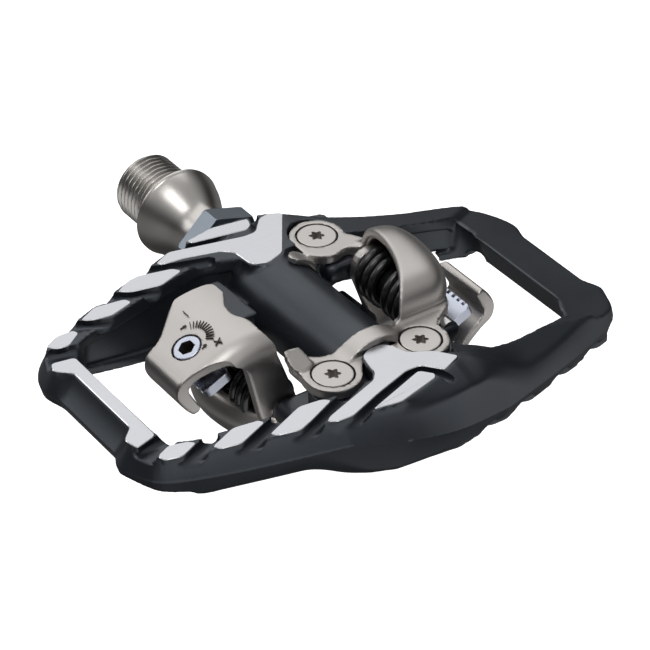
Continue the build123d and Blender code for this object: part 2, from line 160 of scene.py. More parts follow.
def contour(field, low, high, step):
    """Vertices and quads of the surface where field(x, y, z) is zero, by dual contouring.

    Each cell that the surface crosses gets one vertex, which fits the planes found on the cell's
    edges. HOLD draws it towards their middle where the planes leave it free, and it may leave its
    cell by CELL_OVERSHOOT of a step.
    """
    low = np.array(low, float)
    counts = np.ceil((np.array(high, float) - low) / step).astype(int) + 1
    axes = [low[i] + step * np.arange(counts[i]) for i in range(3)]
    values = np.ascontiguousarray(np.broadcast_to(field(*np.ix_(*axes)), counts)).astype(np.float32)
    inside = values < 0
    cells = counts - 1
    filled = np.zeros(cells, np.int8)
    for i in (0, 1):
        for j in (0, 1):
            for k in (0, 1):
                filled += inside[i:i + cells[0], j:j + cells[1], k:k + cells[2]]
    active = (filled > 0) & (filled < 8)
    number = np.full(cells, -1, np.int64)
    total = int(active.sum())
    number[active] = np.arange(total)
    corner_of = low + step * np.argwhere(active)
    squares = np.zeros((total, 3, 3))
    pulls = np.zeros((total, 3))
    centres = np.zeros((total, 3))
    hits = np.zeros(total)
    edges = []
    for axis in range(3):
        unit = np.eye(3, dtype=int)[axis]
        first = tuple(slice(0, counts[i] - unit[i]) for i in range(3))
        second = tuple(slice(unit[i], counts[i]) for i in range(3))
        start = np.argwhere(inside[first] != inside[second])
        a = low + step * start
        b = a + step * unit
        value_a = values[tuple(start.T)].astype(float)
        value_b = values[tuple((start + unit).T)].astype(float)
        for _ in range(3):
            share = np.clip(value_a / (value_a - value_b), 0.02, 0.98)[:, None]
            middle = a + (b - a) * share
            value = field(*middle.T)
            same = (value < 0) == (value_a < 0)
            a[same], value_a[same] = middle[same], value[same]
            b[~same], value_b[~same] = middle[~same], value[~same]
        point = a + (b - a) * np.clip(value_a / (value_a - value_b), 0, 1)[:, None]
        normal = gradient(field, point)
        side, other = [np.eye(3, dtype=int)[(axis + n) % 3] for n in (1, 2)]
        ring = []
        for shift in (0 * side, -side, -side - other, -other):
            cell = start + shift
            valid = ((cell >= 0) & (cell < cells)).all(axis=1)
            cell = np.clip(cell, 0, cells - 1)
            index = np.where(valid, number[tuple(cell.T)], -1)
            ring.append(index)
            ok = index >= 0
            i, n, p = index[ok], normal[ok], point[ok]
            reach = np.einsum("ij,ij->i", n, p)
            for row in range(3):
                pulls[:, row] += np.bincount(i, n[:, row] * reach, total)
                centres[:, row] += np.bincount(i, p[:, row], total)
                for column in range(3):
                    squares[:, row, column] += np.bincount(i, n[:, row] * n[:, column], total)
            hits += np.bincount(i, minlength=total)
        ring = np.stack(ring, axis=1)
        flip = ~inside[tuple(start.T)]
        ring[flip] = ring[flip][:, ::-1]
        edges.append(ring[(ring >= 0).all(axis=1)])
    centres /= hits[:, None]
    right = pulls - np.einsum("nij,nj->ni", squares, centres)
    offset = np.linalg.solve(squares + HOLD * np.eye(3), right[:, :, None])[:, :, 0]
    lowest = corner_of - CELL_OVERSHOOT * step
    highest = corner_of + (1 + CELL_OVERSHOOT) * step
    vertices = np.clip(centres + offset, lowest, highest)
    return vertices, np.concatenate(edges)


def half_turn(vertices):
    """The same points after half a turn about the spindle."""
    return vertices * np.array([1, -1, -1])


def new_piece(name, vertices, faces, material, body, replaced, crease=32):
    """A mesh object from millimetre vertices, riding on a body."""
    mesh = bpy.data.meshes.new(name)
    mesh.from_pydata((np.asarray(vertices, float) * MM).tolist(), [], [list(f) for f in faces])
    mesh.materials.append(material)
    mesh.shade_smooth()
    mesh.set_sharp_from_angle(angle=math.radians(crease))
    piece = bpy.data.objects.new(name, mesh)
    bpy.context.scene.collection.objects.link(piece)
    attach(piece, body)
    if replaced:
        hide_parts(*replaced)
    return piece


def lighten(piece, ratio):
    """Collapses the flattest faces until that share of them is left."""
    bpy.context.view_layer.objects.active = piece
    reduce = piece.modifiers.new("reduce", "DECIMATE")
    reduce.ratio = ratio
    bpy.ops.object.modifier_apply(modifier=reduce.name)


def both_sides(name, vertices, faces, material, body, replaced=True):
    """The upper piece and its twin below. Body names are given with {} for the side."""
    pieces = []
    for side, points in (("top", vertices), ("bottom", half_turn(vertices))):
        nodes = (f"{side}_{name}",) if replaced else ()
        rider = body.format(side)
        pieces.append(new_piece(f"{side}_{name}_skin", points, faces, material, rider, nodes))
    return pieces


# ---- materials
# The part of a noise's range that it fills most of the time.
NOISE_RANGE = (0.3, 0.7)
CLOUD_SCALE = 60
PIT_DEPTH = 0.00002
TOOL_MARK_SCALE = 500
TOOL_MARK_DEPTH = 0.00001


def new_material(name):
    material = bpy.data.materials.new(name)
    material.use_nodes = True
    nodes, links = material.node_tree.nodes, material.node_tree.links
    return material, nodes, links, nodes["Principled BSDF"]


def set_inputs(node, values):
    for name, value in values.items():
        node.inputs[name].default_value = value


def map_range(nodes, start, end, low, high):
    """A node that maps the range from start to end to the one from low to high."""
    ramp = nodes.new("ShaderNodeMapRange")
    set_inputs(ramp, {"From Min": start, "From Max": end, "To Min": low, "To Max": high})
    return ramp


def grain(nodes, links, scale, detail, stretch=(1, 1, 1)):
    """A noise in object space; scale is in features per metre."""
    where = nodes.new("ShaderNodeTexCoord")
    mapping = nodes.new("ShaderNodeMapping")
    mapping.inputs["Scale"].default_value = stretch
    noise = nodes.new("ShaderNodeTexNoise")
    set_inputs(noise, {"Scale": scale, "Detail": detail})
    links.new(where.outputs["Object"], mapping.inputs["Vector"])
    links.new(mapping.outputs["Vector"], noise.inputs["Vector"])
    return noise.outputs["Fac"]


def spread(nodes, links, value, low, high):
    """Maps a noise to the range from low to high."""
    ramp = map_range(nodes, *NOISE_RANGE, low, high)
    links.new(value, ramp.inputs["Value"])
    return ramp.outputs["Result"]


def tint(nodes, links, value, dark, light):
    """A colour that wanders between two shades with a noise."""
    mix = nodes.new("ShaderNodeMix")
    mix.data_type = "RGBA"
    set_inputs(mix, {"A": (*dark, 1), "B": (*light, 1)})
    links.new(spread(nodes, links, value, 0, 1), mix.inputs["Factor"])
    return mix.outputs["Result"]


def emboss(nodes, links, shader, value, strength, distance):
    bump = nodes.new("ShaderNodeBump")
    set_inputs(bump, {"Strength": strength, "Distance": distance})
    links.new(value, bump.inputs["Height"])
    links.new(bump.outputs["Normal"], shader.inputs["Normal"])


def blasted(name, dark, light, metallic, roughness, fine=9000, strength=0.25, specular=0.5):
    """A bead-blasted surface: fine pits, and a slow wander in colour and gloss."""
    material, nodes, links, shader = new_material(name)
    cloud = grain(nodes, links, CLOUD_SCALE, 4)
    pits = grain(nodes, links, fine, 2)
    links.new(tint(nodes, links, cloud, dark, light), shader.inputs["Base Color"])
    links.new(spread(nodes, links, cloud, roughness - 0.04, roughness + 0.05), shader.inputs["Roughness"])
    set_inputs(shader, {"Metallic": metallic, "Specular IOR Level": specular})
    emboss(nodes, links, shader, pits, strength, PIT_DEPTH)
    return material


def milled(name, dark, light, roughness, stretch, strength=0.2):
    """Bright cut metal with straight tool marks along one axis."""
    material, nodes, links, shader = new_material(name)
    marks = grain(nodes, links, TOOL_MARK_SCALE, 5, stretch)
    links.new(tint(nodes, links, marks, dark, light), shader.inputs["Base Color"])
    links.new(spread(nodes, links, marks, roughness - 0.05, roughness + 0.06), shader.inputs["Roughness"])
    shader.inputs["Metallic"].default_value = 1
    emboss(nodes, links, shader, marks, strength, TOOL_MARK_DEPTH)
    return material


anodised_black = blasted("anodised_black", (0.008, 0.010, 0.014), (0.012, 0.015, 0.020), 0.0, 0.38,
                         fine=5000, strength=0.5, specular=0.88)
black_shader = anodised_black.node_tree.nodes["Principled BSDF"]
black_shader.inputs["Specular Tint"].default_value = (0.84, 0.91, 1.0, 1.0)
cut_silver = milled("cut_silver", (0.60, 0.61, 0.64), (0.68, 0.69, 0.72), 0.36, (1, 0.06, 1))
edge_silver = milled("edge_silver", (0.86, 0.87, 0.89), (0.95, 0.95, 0.96), 0.25, (1, 1, 1))
claw_steel = blasted("claw_steel", (0.50, 0.475, 0.455), (0.59, 0.565, 0.545), 1.0, 0.40,
                     fine=11000, strength=0.3)
screw_steel = blasted("screw_steel", (0.52, 0.495, 0.475), (0.60, 0.575, 0.555), 1.0, 0.36,
                      fine=11000, strength=0.2)
spindle_steel = blasted("spindle_steel", (0.52, 0.50, 0.475), (0.60, 0.58, 0.555), 1.0, 0.30,
                        fine=9000, strength=0.12)
sleeve_blue = blasted("sleeve_blue", (0.27, 0.31, 0.36), (0.32, 0.36, 0.41), 0.9, 0.36, fine=9000,
                      strength=0.15)
spring_black = blasted("spring_black", (0.05, 0.05, 0.052), (0.085, 0.085, 0.088), 0.85, 0.22,
                       fine=4000, strength=0.1)
chrome = milled("chrome", (0.47, 0.50, 0.58), (0.58, 0.61, 0.70), 0.27, (1, 1, 1), strength=0.05)
# Near-black, dull steel for the tension bolt's hex socket: painted shade in the recess.
painted_socket_shade = blasted("painted_socket_shade", (0.045, 0.038, 0.034), (0.085, 0.075, 0.068), 0.5, 0.45,
                      strength=0.1)
bearing_steel = blasted("bearing_steel", (0.50, 0.50, 0.50), (0.62, 0.62, 0.62), 1.0, 0.22,
                        strength=0.05)
black_rubber = blasted("black_rubber", (0.008, 0.008, 0.008), (0.014, 0.014, 0.014), 0.0, 0.6,
                       strength=0.4)
black_plastic = blasted("black_plastic", (0.010, 0.010, 0.011), (0.018, 0.018, 0.020), 0.0, 0.4,
                        strength=0.2)
engraved_dark = blasted("engraved_dark", (0.07, 0.06, 0.05), (0.12, 0.10, 0.085), 0.2, 0.55,
                        strength=0.1)

# ---- cage and barrel
HALF = 8.3
FACE_LEVEL = 8.18
FACE_ROUND = 0.5
# The upper face falls towards the front, and its outboard edge also leans outwards there.
SLOPE = 8.7 / 45
SLOPE_START = 8.0
LEAN = 0.75
LEAN_X = 77.6
LEAN_Y = (12.0, 26.0)
DIP_DEPTH = 1.0
DIP_ROUND = 0.6
DIP_FILLET = 1.4
# The ridge round the outer wall runs from above the middle at the rear to below it at the front.
RIDGE_RISE = -0.2
RIDGE_LIFT = 3.6
FLARE_POWER = 1.4
SHOULDER_DEPTH = 3.0
WINDOW_ROUND = 0.9
# A shallow recess inside the two end bars.
RECESS_DEPTH = 1.0
RECESS_FLOOR = 2.2
RECESS_CEILING = 3.0
RECESS_REACH = 43
RECESS_ROUND = 2.0
BLOCK_FILLET = 0.6
SEAT_ROUND = 0.4
PLATEAU_ROUND = 0.2
STOP_ROUND = 0.5
WEDGE_ROUND = 0.8
POCKET_ROUND = 0.3
BORE_ROUND = 0.2

TOP_OUTLINE = [
    (44.8, -50.6), (42.3, -53.3), (35.0, -50.6), (33.2, -47.2), (29.6, -38.0), (26.0, -28.0),
    (22.7, -18.0), (19.6, -4.0), (20.2, 4.5), (23.0, 11.0), (26.8, 16.7), (30.2, 25.1), (32.8, 34.3),
    (33.3, 42.7), (33.6, 50.4), (42.3, 53.3), (44.8, 50.6), (65.2, 50.6), (67.4, 53.4), (74.6, 50.8),
    (75.6, 47.4), (76.6, 40.3), (79.6, 31.2), (81.0, 23.4), (82.6, 17.8), (82.0, 12.6), (80.9, 9.9),
    (82.8, 5.8), (83.8, 2.8), (85.4, -1.5), (86.1, -6.6), (84.5, -17.0), (81.9, -29.0), (79.3, -38.5),
    (76.8, -47.4), (75.6, -50.8), (67.4, -53.4), (65.2, -50.6),
]
# The same outline SHOULDER_DEPTH below the face, without the notch beside the outboard cut faces.
NOTCH = slice(21, 31)
SHOULDER = [
    (77.4, 40.3), (80.9, 31.2), (82.8, 23.4), (84.4, 17.5), (85.8, 12.5), (86.7, 9.0), (87.0, 4.5),
    (87.0, 0.5), (86.9, -3.0),
]
SHOULDER_OUTLINE = TOP_OUTLINE[:NOTCH.start] + SHOULDER + TOP_OUTLINE[NOTCH.stop:]
# The ridge in plan; its rear half is the same turned over.
BELT_HALF = [
    (89.5, 4.0), (88.4, 10.0), (86.2, 19.0), (83.8, 29.0), (81.4, 38.0), (78.6, 46.5), (75.8, 52.4),
    (67.6, 55.8), (64.8, 54.0), (44.8, 54.0), (41.4, 55.2), (38.0, 54.3), (34.9, 52.4), (31.0, 48.4),
    (27.6, 38.0), (24.5, 28.0), (21.3, 18.0), (18.6, 5.0),
]
BELT_OUTLINE = BELT_HALF + [(x, -y) for x, y in reversed(BELT_HALF)]
WINDOW_TOP = [
    (43.0, -47.9), (39.4, -47.4), (37.2, -44.6), (33.4, -33.0), (30.5, -22.5), (28.4, -12.5),
    (30.4, -8.0), (34.0, 0.0), (33.4, 14.0), (35.6, 24.0), (36.4, 33.0), (35.6, 40.0), (34.6, 46.8),
    (40.0, 39.6), (44.0, 39.2), (71.5, 39.2), (74.6, 40.6), (77.0, 37.5), (78.7, 30.0), (79.4, 24.0),
    (79.6, 16.0), (76.6, 0.0), (78.0, -12.0), (76.4, -24.0), (75.3, -33.0), (74.0, -43.0), (72.0, -46.8),
    (68.5, -47.9),
]
FACETS = {
    "rear_bar": [(40.1, -52.5), (42.3, -53.4), (45.0, -50.5), (64.4, -50.6), (67.0, -53.4),
                 (70.3, -52.7), (69.0, -48.0), (41.0, -47.8)],
    "inboard_1": [(35.2, -50.6), (36.8, -49.3), (37.3, -46.8), (34.9, -43.3), (33.5, -43.8), (33.4, -47.3)],
    "inboard_2": [(31.5, -41.0), (32.7, -39.5), (33.6, -35.2), (32.1, -30.0), (30.5, -30.6), (29.4, -36.7)],
    "inboard_3": [(27.6, -30.5), (29.2, -28.4), (30.6, -22.4), (28.8, -16.7), (27.1, -17.8),
                  (25.3, -24.8), (26.0, -27.8)],
    "inboard_4": [(23.8, -19.6), (24.9, -18.6), (25.5, -13.8), (27.4, -7.2), (29.2, -5.2), (34.6, -4.7),
                  (35.9, -1.4), (34.6, 2.5), (23.2, 10.3), (21.7, 7.6), (22.2, 5.3), (25.7, 2.1),
                  (25.7, -0.6), (21.9, -15.6)],
    "inboard_5": [(20.8, -10.7), (21.9, -10.0), (24.2, 1.3), (23.3, 2.7), (21.0, 3.5), (19.6, -4.3)],
    "outboard_1": [(74.2, -51.0), (75.9, -50.7), (76.8, -47.3), (75.0, -43.3), (73.8, -44.2), (72.7, -47.8)],
    "outboard_2": [(77.4, -41.6), (78.8, -40.9), (79.7, -36.9), (77.0, -30.2), (75.8, -30.8), (75.0, -35.8)],
    "outboard_3": [(80.2, -31.3), (81.4, -30.5), (82.5, -26.2), (81.3, -23.0), (78.5, -16.7),
                   (77.2, -18.0), (76.6, -22.7)],
    "outboard_4": [(83.0, -21.0), (82.1, -19.8), (77.8, -7.1), (76.0, -5.6), (70.9, -4.7), (69.6, -2.4),
                   (69.7, 0.4), (71.2, 1.8), (74.4, 2.8), (76.9, 7.2), (80.8, 10.1), (82.8, 5.4),
                   (79.2, 2.5), (79.0, -0.4), (81.5, -8.4), (84.4, -16.2), (84.2, -19.6)],
    "outboard_5": [(84.8, -12.3), (80.2, 1.2), (82.6, 3.2), (83.7, 2.6), (86.0, -6.6)],
}
FACET_ROUND = 0.9
# Grooves between neighbouring cut faces: their middle lines, from the rear, and their radii.
GROOVES = (
    (1.6, [(72.5, -57.0), (70.7, -45.5)]),
    (1.4, [(81.4, -54.5), (75.2, -40.2)]),
    (1.3, [(84.4, -45.0), (76.6, -25.8)]),
    (1.1, [(86.8, -33.5), (77.2, -10.5)]),
    (0.95, [(89.5, -26.0), (83.9, -12.3), (81.3, -5.0), (79.8, -0.2), (79.8, 1.9), (81.0, 3.1),
            (82.9, 4.2), (84.6, 4.9)]),
    (1.6, [(37.4, -57.0), (39.3, -45.5)]),
    (1.35, [(29.4, -50.0), (35.6, -35.8)]),
    (1.2, [(24.8, -41.6), (31.6, -24.0)]),
    (1.1, [(21.4, -32.0), (28.6, -10.4)]),
    (0.95, [(17.8, -28.0), (22.6, -10.0), (23.8, -5.0), (24.8, 0.2), (24.7, 2.2), (23.4, 3.8),
            (21.4, 4.6), (19.0, 4.9)]),
)
GROOVE_AXIS = 7.6
GROOVE_DROP = 1.3
GROOVE_ROUND = 0.35
RUNOUT_FLARE = 1.6
RUNOUT_LENGTH = 13.0
BARREL_R = 8.2
BARREL_X = (22.0, 69.8)
BARREL_ROUND = 0.8
BARREL_FILLET = 1.2
BORE_R = 6.7
BORE_END = 65.5
PLATE_SEAT = 5.2
PLATE_TOP = 7.2
PLATE_CLEARANCE = 0.35
LOBE_R = 5.5
STRIP_FILLET = 0.8
SCREW_SPOTS = ((32.3, 12.1), (71.5, 8.2), (70.9, -11.2))
BAR_DIP = [(34.9, 46.0), (31.5, 51.5), (34.0, 58.0), (70.0, 58.0), (77.0, 50.5), (77.6, 46.0),
           (75.6, 43.0), (75.0, 36.0), (40.0, 36.0)]

top_outline = chart(TOP_OUTLINE, 2.5)
shoulder_outline = chart(SHOULDER_OUTLINE, 2.5)
belt_outline = chart(BELT_OUTLINE, 3.0)
window_top = chart(WINDOW_TOP, 3.0)
bar_dip = chart(BAR_DIP, 3.0)
facets = {name: rounded(points, FACET_ROUND) for name, points in FACETS.items()}


def plate_outline(x, y):
    """The claw plate's flat part: three lobes and the strips between them."""
    strips = (
        [(33.0, 6.8), (36.6, 6.5), (38.6, 8.4), (40.0, 10.9), (38.8, 14.6), (40.4, 16.6), (41.2, 21.0),
         (34.4, 17.2)],
        [(63.2, 8.0), (65.6, 6.4), (66.2, 1.5), (69.4, 1.5), (70.6, 3.0), (75.5, 9.0), (73.0, 13.4),
         (69.0, 13.6), (65.2, 19.6), (63.2, 19.6)],
        [(66.0, -3.0), (69.4, -3.0), (73.4, -6.6), (72.6, -16.0), (66.5, -16.4), (63.0, -16.2),
         (63.0, -12.6), (65.6, -10.0)],
    )
    plan = np.minimum.reduce([np.hypot(x - sx, y - sy) - LOBE_R for sx, sy in SCREW_SPOTS])
    for strip in strips:
        plan = join(plan, outline_distance(x, y, rounded(strip, 1.5, 4)), STRIP_FILLET)
    return plan


CAGE_LOW = (10.0, -62.0)
CAGE_HIGH = (98.0, 62.0)
plate_plan = Chart(plate_outline, CAGE_LOW, CAGE_HIGH)


def path_distance(u, v, points):
    """Distance in a plane to an open line through the points."""
    nearest = np.full(np.broadcast_shapes(np.shape(u), np.shape(v)), FAR)
    for (u0, v0), (u1, v1) in zip(points, points[1:]):
        eu, ev = u1 - u0, v1 - v0
        t = np.clip(((u - u0) * eu + (v - v0) * ev) / (eu * eu + ev * ev), 0, 1)
        nearest = np.minimum(nearest, (u - u0 - eu * t) ** 2 + (v - v0 - ev * t) ** 2)
    return np.sqrt(nearest)


def groove_distance(x, y):
    """Distance in plan to the grooves, which widen where they run out through the cage's outer wall."""
    channels = []
    for radius, path in GROOVES:
        from_end = np.hypot(x - path[0][0], y - path[0][1])
        flare = RUNOUT_FLARE * np.clip(1 - from_end / RUNOUT_LENGTH, 0, 1)
        channels.append(path_distance(x, y, path) - radius - flare)
    return np.minimum.reduce(channels)


def plateau_outline(x, y):
    """The cut faces beside the barrel, which stand on raised plateaus."""
    names = ("inboard_4", "inboard_5", "outboard_4", "outboard_5")
    return np.minimum.reduce([outline_distance(x, y, facets[name]) for name in names])


groove_plan = Chart(groove_distance, CAGE_LOW, CAGE_HIGH)
plateau_plan = Chart(plateau_outline, CAGE_LOW, CAGE_HIGH)


def grooves(x, y, z):
    """Round-bottomed channels between the cut faces of the upper side."""
    across = np.maximum(groove_plan(x, y) + GROOVE_DROP, 0)
    return np.hypot(across, np.minimum(z - GROOVE_AXIS, 0)) - GROOVE_DROP


def slope_level(x, y):
    """Height of the upper face's front part, which slopes forwards and leans outwards."""
    front = np.clip((y - LEAN_Y[0]) / (LEAN_Y[1] - LEAN_Y[0]), 0, 1)
    lean = LEAN * np.maximum(x - LEAN_X, 0) * front * front * (3 - 2 * front)
    return HALF - SLOPE * (y - SLOPE_START) - lean


def upper_cuts(x, y, z):
    """What shapes the upper face: the top, its slope to the front, grooves and the front bar's dip."""
    slope = (z - slope_level(x, y)) / math.hypot(1, SLOPE)
    face = common(z - FACE_LEVEL, slope, FACE_ROUND)
    dip = common(bar_dip(x, y), -(slope + DIP_DEPTH), DIP_ROUND)
    return cut(cut(face, grooves(x, y, z), GROOVE_ROUND), dip, DIP_FILLET)


def plate_pocket(x, y, z):
    """Room for the claw plate's flat part."""
    return np.maximum(plate_plan(x, y) - PLATE_CLEARANCE, PLATE_SEAT - z)


def rail_ring(x, y, z):
    """The closed ring of rails and end bars, before its faces are cut."""
    height = np.clip((z + HALF) / (2 * HALF), 0, 1)
    ceiling = np.minimum(HALF, slope_level(x, y))
    floor = -np.minimum(HALF, slope_level(x, -y))
    below_top = np.clip((ceiling - z) / SHOULDER_DEPTH, 0, 1)
    below_top = below_top * (2 - below_top)
    above_floor = np.clip((z - floor) / SHOULDER_DEPTH, 0, 1)
    above_floor = above_floor * (2 - above_floor)
    upper = top_outline(x, y) * (1 - below_top) + shoulder_outline(x, y) * below_top
    lower = top_outline(x, -y) * (1 - above_floor) + shoulder_outline(x, -y) * above_floor
    belt = belt_outline(x, y)
    ridge = np.clip(RIDGE_RISE * y, -RIDGE_LIFT, RIDGE_LIFT)
    above = z > ridge
    away = np.clip(np.where(above, (z - ridge) / (HALF - ridge), (ridge - z) / (HALF + ridge)), 0, 1)
    flare = (1 - away) ** FLARE_POWER
    outer = np.where(above, upper, lower) * (1 - flare) + belt * flare
    window = window_top(x, y) * height + window_top(x, -y) * (1 - height)
    ring = cut(outer, window, WINDOW_ROUND)
    recess = between(z, floor + RECESS_FLOOR, ceiling - RECESS_CEILING)
    recess = np.maximum(window - RECESS_DEPTH, recess)
    recess = common(recess, np.abs(y) - RECESS_REACH, RECESS_ROUND)
    return cut(ring, recess, WINDOW_ROUND)


DECKS = (
    [(20.5, 3.0), (35.0, 3.0), (38.6, 9.0), (36.4, 16.0), (31.0, 18.6), (24.0, 19.5)],
    [(66.0, 0.0), (82.0, 0.0), (82.0, 21.5), (76.0, 15.0), (69.0, 13.2), (66.4, 9.0)],
    [(66.0, 0.0), (80.0, 0.0), (80.0, -17.0), (70.0, -16.4), (66.4, -12.0)],
)
decks = [chart(points, 1.5) for points in DECKS]
# Lugs that hold the ends of the sprung claw's pin.
LUG_X = ((34.2, 41.2), (62.8, 69.6))
LUG_Y = (-19.5, -9.0)
LUG_TOP = -0.9
LUG_ROUND = (2.4, 1.4)
SEAT_FLOOR = -2.0
BLOCK_FLOOR = -1.0
PLATEAU_MARGIN = 0.25
STOP_FLOOR = 5.8
# The wedge in front of the outboard cut faces: one point of it, and its falls forwards and inboard.
WEDGE_AT = (78, 12.0, 6.9)
WEDGE_FALL = 0.35
WEDGE_LEAN = 0.25
# Turns a height above the wedge's slope into a distance from it.
WEDGE_SCALE = 0.9
stop_plan = chart([(35.0, -16.5), (35.0, -12.8), (48.3, -12.4), (48.3, -15.2), (46.0, -16.8)], 0.8)
wedge_plan = chart([(73.2, 12.6), (78.0, 11.2), (81.5, 11.0), (81.5, 24.0), (79.0, 22.6), (75.0, 18.4)], 1.0)


def upper_blocks(x, y, z):
    """Seats for the claw plate, plateaus for the cut faces, the claw's stop, the wedge and the lugs."""
    deck = np.minimum.reduce([plan(x, y) for plan in decks])
    seat = common(deck, between(z, SEAT_FLOOR, PLATE_SEAT), SEAT_ROUND)
    plateau = between(z, BLOCK_FLOOR, FACE_LEVEL)
    plateau = common(plateau_plan(x, y) - PLATEAU_MARGIN, plateau, PLATEAU_ROUND)
    stop = common(stop_plan(x, y), between(z, STOP_FLOOR, HALF), STOP_ROUND)
    wedge_x, wedge_y, wedge_z = WEDGE_AT
    fall = (z - wedge_z + WEDGE_FALL * (y - wedge_y) - WEDGE_LEAN * (x - wedge_x)) * WEDGE_SCALE
    wedge = common(common(wedge_plan(x, y), fall, WEDGE_ROUND), BLOCK_FLOOR - z)
    lugs = np.minimum(between(x, *LUG_X[0]), between(x, *LUG_X[1]))
    sides = common(between(y, *LUG_Y), between(z, -PLATE_SEAT, LUG_TOP), LUG_ROUND[0])
    lugs = common(lugs, sides, LUG_ROUND[1])
    blocks = join(join(seat, plateau, BLOCK_FILLET), stop, STOP_ROUND)
    return join(join(blocks, wedge, WEDGE_ROUND), lugs, BLOCK_FILLET)


def cage_field(x, y, z):
    """The cage and barrel. What shapes the upper side also shapes the lower one, turned over."""
    ring = rail_ring(x, y, z)
    for turned in (1, -1):
        ring = join(ring, upper_blocks(x, turned * y, turned * z), BLOCK_FILLET)
    for turned in (1, -1):
        ring = common(ring, upper_cuts(x, turned * y, turned * z), FACE_ROUND)
    barrel = common(np.hypot(y, z) - BARREL_R, between(x, *BARREL_X), BARREL_ROUND)
    body = join(ring, barrel, BARREL_FILLET)
    for turned in (1, -1):
        body = cut(body, plate_pocket(x, turned * y, turned * z), POCKET_ROUND)
    bore = np.maximum(np.hypot(y, z) - BORE_R, x - BORE_END)
    body = cut(body, bore, BORE_ROUND)
    return np.maximum(body, np.abs(z) - FACE_LEVEL)


CAGE_STEP = 0.42
CAGE_FACES = 95000
CAGE_CREASE = 35
cage_vertices, cage_quads = contour(cage_field, (17.5, -55.5, -9.0), (91.0, 55.5, 9.0), CAGE_STEP)
cage = new_piece("cage", cage_vertices, cage_quads, anodised_black, "pedal_body", ["pedal_body"],
                 CAGE_CREASE)
if len(cage_quads) > CAGE_FACES:
    lighten(cage, CAGE_FACES / len(cage_quads))


FACET_THICKNESS = 1.3
FACET_BEVEL = 0.13
FACET_CREASE = 20


def facet_plate(points):
    """A plate with a flat top, a bright bevel and dark sides: vertices, faces and material numbers."""
    ring = np.array(points)
    count = len(ring)
    ahead = np.roll(ring, -1, axis=0) - np.roll(ring, 1, axis=0)
    ahead /= np.maximum(np.linalg.norm(ahead, axis=1, keepdims=True), TINY)
    area = np.sum(ring[:, 0] * np.roll(ring[:, 1], -1) - np.roll(ring[:, 0], -1) * ring[:, 1])
    outward = np.stack([ahead[:, 1], -ahead[:, 0]], axis=1) * np.sign(area)
    inset = ring - outward * FACET_BEVEL
    layers = [(inset, HALF), (ring, HALF - FACET_BEVEL), (ring, HALF - FACET_THICKNESS)]
    vertices = np.concatenate([np.column_stack([plan, np.full(count, z)]) for plan, z in layers])
    order = np.arange(count) if area > 0 else np.arange(count)[::-1]
    faces = [order.tolist()]
    finish = [0]
    for layer in (0, 1):
        upper, lower = layer * count, (layer + 1) * count
        for a, b in zip(order, np.roll(order, -1)):
            faces.append([upper + a, lower + a, lower + b, upper + b])
            finish.append(layer + 1)
    faces.append((2 * count + order[::-1]).tolist())
    finish.append(2)
    return vertices, faces, finish


for name, points in facets.items():
    vertices, faces, finish = facet_plate(points)
    for side, placed in (("top", vertices), ("bottom", half_turn(vertices))):
        plate = new_piece(f"{side}_cut_face_{name}", placed, faces, cut_silver, "pedal_body", (),
                          FACET_CREASE)
        plate.data.materials.append(edge_silver)
        plate.data.materials.append(anodised_black)
        plate.data.polygons.foreach_set("material_index", finish)

# ---- fixed claw plates with their hoods
HOOD_CENTRE = (54.0, 15.0, 1.0)
# How far the hood reaches from its centre: inboard, outboard, forwards and up.
HOOD_REACH = (15.0, 11.2, 11.0, 12.4)
ARCH_POWER = 4.2
CLOSE_POWER = 3.6
HOOD_WALL = 1.8
HOOD_FLOOR = 4.6
# The front is swept back outboard of SWEEP_X, and tucked in below TUCK_Z.
HOOD_SWEEP = 0.016
SWEEP_X = 47.0
HOOD_TUCK = 0.33
TUCK_Z = 8
TUCK_POWER = 1.5
LEAST_FRONT = 2.0
HOOD_REAR = 2.0
HOOD_ROUND = 0.7
HOOD_FILLET = 1.0
# The hood's open rim runs back from RIM_Y as it goes outboard, from RIM_START over RIM_LENGTH.
RIM_Y = 17.5
RIM_FALL = 9.6
RIM_POWER = 2.2
RIM_START = 40
RIM_LENGTH = 25
PLATE_ROUND = 0.45
BEND_EDGE = 0.4
BARREL_GAP = 0.06
STRAP_THICKNESS = 1.49
STRAP_X = (65.5, 69.6)
TAB_THICKNESS = 1.24
TAB_FLOOR = 4
# The ear's middle height at one point, its slopes along X and Y, and how far it reaches below and above.
FOLD_AT = (64.2, -13, 7.9)
FOLD_SLOPE = (-0.35, -0.12)
FOLD_W = (-1.3, 0.5)
COUNTERSINK_R = 4.2
COUNTERSINK_ROUND = 0.25


def dome(x, y, z, shrink):
    """The hood's outer shape, or its hollow when shrunk: an arch that closes towards the front."""
    inboard, outboard, front, top = [reach - shrink for reach in HOOD_REACH]
    ax = np.where(x < HOOD_CENTRE[0], (HOOD_CENTRE[0] - x) / inboard, (x - HOOD_CENTRE[0]) / outboard)
    front = front - HOOD_SWEEP * np.maximum(x - SWEEP_X, 0) ** 2
    front = np.maximum(front - HOOD_TUCK * np.maximum(TUCK_Z - z, 0) ** TUCK_POWER, LEAST_FRONT)
    ay = np.maximum(y - HOOD_CENTRE[1], 0) / front
    az = np.maximum(z - HOOD_CENTRE[2], 0) / top
    arch = (ax ** ARCH_POWER + az ** ARCH_POWER) ** (1 / ARCH_POWER)
    return ((arch ** CLOSE_POWER + ay ** CLOSE_POWER) ** (1 / CLOSE_POWER) - 1) * outboard


tab_plan = chart([(35.6, 7.6), (35.6, 3.4), (37.6, 1.6), (39.4, 2.4), (39.6, 7.6)], 1.2)
fold_plan = chart([(62.4, -16.4), (62.4, -12.8), (66.6, -12.4), (67.6, -15.2), (66.6, -17.2)], 0.8)


